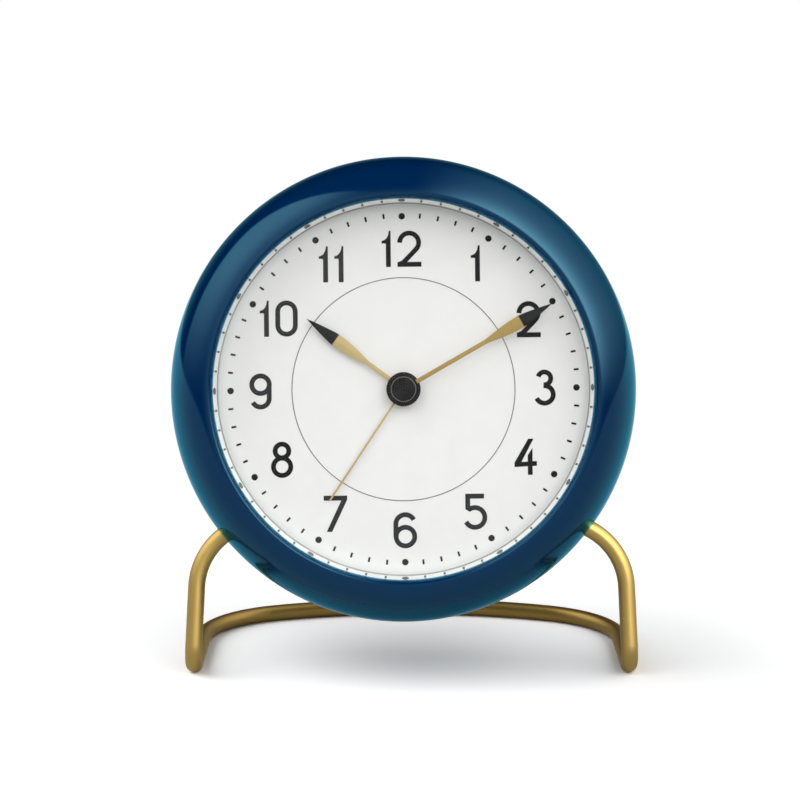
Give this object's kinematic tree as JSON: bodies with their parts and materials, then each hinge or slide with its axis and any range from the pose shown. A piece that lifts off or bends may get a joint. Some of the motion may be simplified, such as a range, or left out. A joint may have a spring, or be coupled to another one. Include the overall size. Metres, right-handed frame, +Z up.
{
  "type": "table clock",
  "caption": "Table alarm clock with a round, softly curved dark blue-green case, white dial and black-tipped leaf hands, leaning back on a bent brass tube stand.",
  "frame": {"origin": "centre of the footprint's box at the table", "axes": "+X to the viewer's right, +Y away from the viewer, +Z up; the dial faces -Y and leans back 9 degrees"},
  "size_m": [0.1104, 0.0782, 0.1213],
  "materials": {
    "case_plastic": "satin",
    "brass": "satin",
    "glass": "polished",
    "white_plastic": "matte",
    "bright_ring": "polished",
    "dial_white": "matte",
    "black_print": "matte",
    "hand_gold": "satin",
    "black_paint": "satin",
    "steel": "brushed",
    "movement_plastic": "matte",
    "gear_plastic": "matte",
    "magnet": "matte",
    "copper": "satin",
    "board_green": "satin",
    "black_plastic": "matte",
    "battery_sleeve": "satin"
  },
  "bodies": {
    "case": {"case_shell": "case_plastic", "rear_cover": "case_plastic", "stand": "brass", "lens": "glass", "lens_gasket": "white_plastic", "dial_ring": "bright_ring", "dial_plate": "dial_white", "dial_numerals": "black_print", "dial_hour_dots": "black_print", "dial_minute_ticks": "black_print", "dial_inner_circle": "black_print", "movement_front": "movement_plastic", "movement_bridge": "movement_plastic", "movement_housing": "movement_plastic", "stator": "steel", "coil_core": "steel", "coil_bobbin": "gear_plastic", "coil_winding": "copper", "circuit_board": "board_green", "quartz_crystal": "steel", "control_chip": "black_plastic", "movement_screws": "steel", "buzzer": "black_plastic", "alarm_switch_body": "black_plastic", "snooze_switch": "black_plastic", "battery": "battery_sleeve", "battery_contact": "steel", "battery_spring": "steel", "cover_screws": "steel"},
    "minute_train": {"minute_arbor": "brass", "centre_wheel": "gear_plastic", "hand_hub": "black_paint", "minute_hand": "hand_gold", "minute_hand_tip": "black_paint", "hub_cap": "black_paint", "hub_cap_ring": "steel"},
    "hour_train": {"hour_wheel": "gear_plastic", "hour_hand": "hand_gold", "hour_hand_tip": "black_paint"},
    "time_setting": {"minute_wheel": "gear_plastic", "time_knob": "white_plastic"},
    "third_arbor": {"third_wheel": "gear_plastic"},
    "rotor": {"rotor_pinion": "gear_plastic", "rotor_magnet": "magnet"},
    "alarm_setting": {"alarm_pinion": "gear_plastic", "alarm_knob": "white_plastic"},
    "alarm_train": {"alarm_wheel": "gear_plastic", "alarm_hand": "hand_gold"},
    "snooze": {"snooze_button": "case_plastic"},
    "switch_slider": {"alarm_switch": "white_plastic"},
    "door": {"battery_door": "case_plastic"}
  },
  "joints": [
    {"name": "minute_turn", "type": "hinge", "parent": "case", "child": "minute_train", "pos_m": [-0.0002, -0.01374, 0.06714], "axis": [0, -0.9877, 0.1564], "continuous": true},
    {"name": "hour_turn", "type": "hinge", "parent": "case", "child": "hour_train", "pos_m": [-0.0002, -0.01374, 0.06714], "axis": [0, -0.9877, 0.1564], "continuous": true},
    {"name": "time_knob_turn", "type": "hinge", "parent": "case", "child": "time_setting", "pos_m": [-0.00922, -0.01425, 0.06389], "axis": [0, -0.9877, 0.1564], "continuous": true},
    {"name": "third_turn", "type": "hinge", "parent": "case", "child": "third_arbor", "pos_m": [0.00281, -0.01245, 0.0753], "axis": [0, -0.9877, 0.1564], "continuous": true},
    {"name": "rotor_turn", "type": "hinge", "parent": "case", "child": "rotor", "pos_m": [0.00007, -0.01127, 0.08273], "axis": [0, -0.9877, 0.1564], "continuous": true},
    {"name": "alarm_knob_turn", "type": "hinge", "parent": "case", "child": "alarm_setting", "pos_m": [0.0092, -0.01427, 0.06376], "axis": [0, -0.9877, 0.1564], "continuous": true},
    {"name": "alarm_turn", "type": "hinge", "parent": "case", "child": "alarm_train", "pos_m": [-0.0002, -0.01374, 0.06714], "axis": [0, -0.9877, 0.1564], "continuous": true},
    {"name": "snooze_press", "type": "slide", "parent": "case", "child": "snooze", "axis": [0, -0.1564, -0.9877], "range_m": [0, 0.001], "stiffness_N_per_m": 1500, "springref_m": -0.0005},
    {"name": "alarm_switch_slide", "type": "slide", "parent": "case", "child": "switch_slider", "axis": [1, 0, 0], "range_m": [0, 0.004]},
    {"name": "battery_door_slide", "type": "slide", "parent": "case", "child": "door", "axis": [1, 0, 0], "range_m": [0, 0.03]}
  ],
  "couplings": [
    {"joint": "hour_turn", "follows": "minute_turn", "ratio": 0.083333},
    {"joint": "time_knob_turn", "follows": "minute_turn", "ratio": -0.33333},
    {"joint": "third_turn", "follows": "minute_turn", "ratio": -10},
    {"joint": "rotor_turn", "follows": "minute_turn", "ratio": 90},
    {"joint": "alarm_turn", "follows": "alarm_knob_turn", "ratio": -0.25}
  ]
}
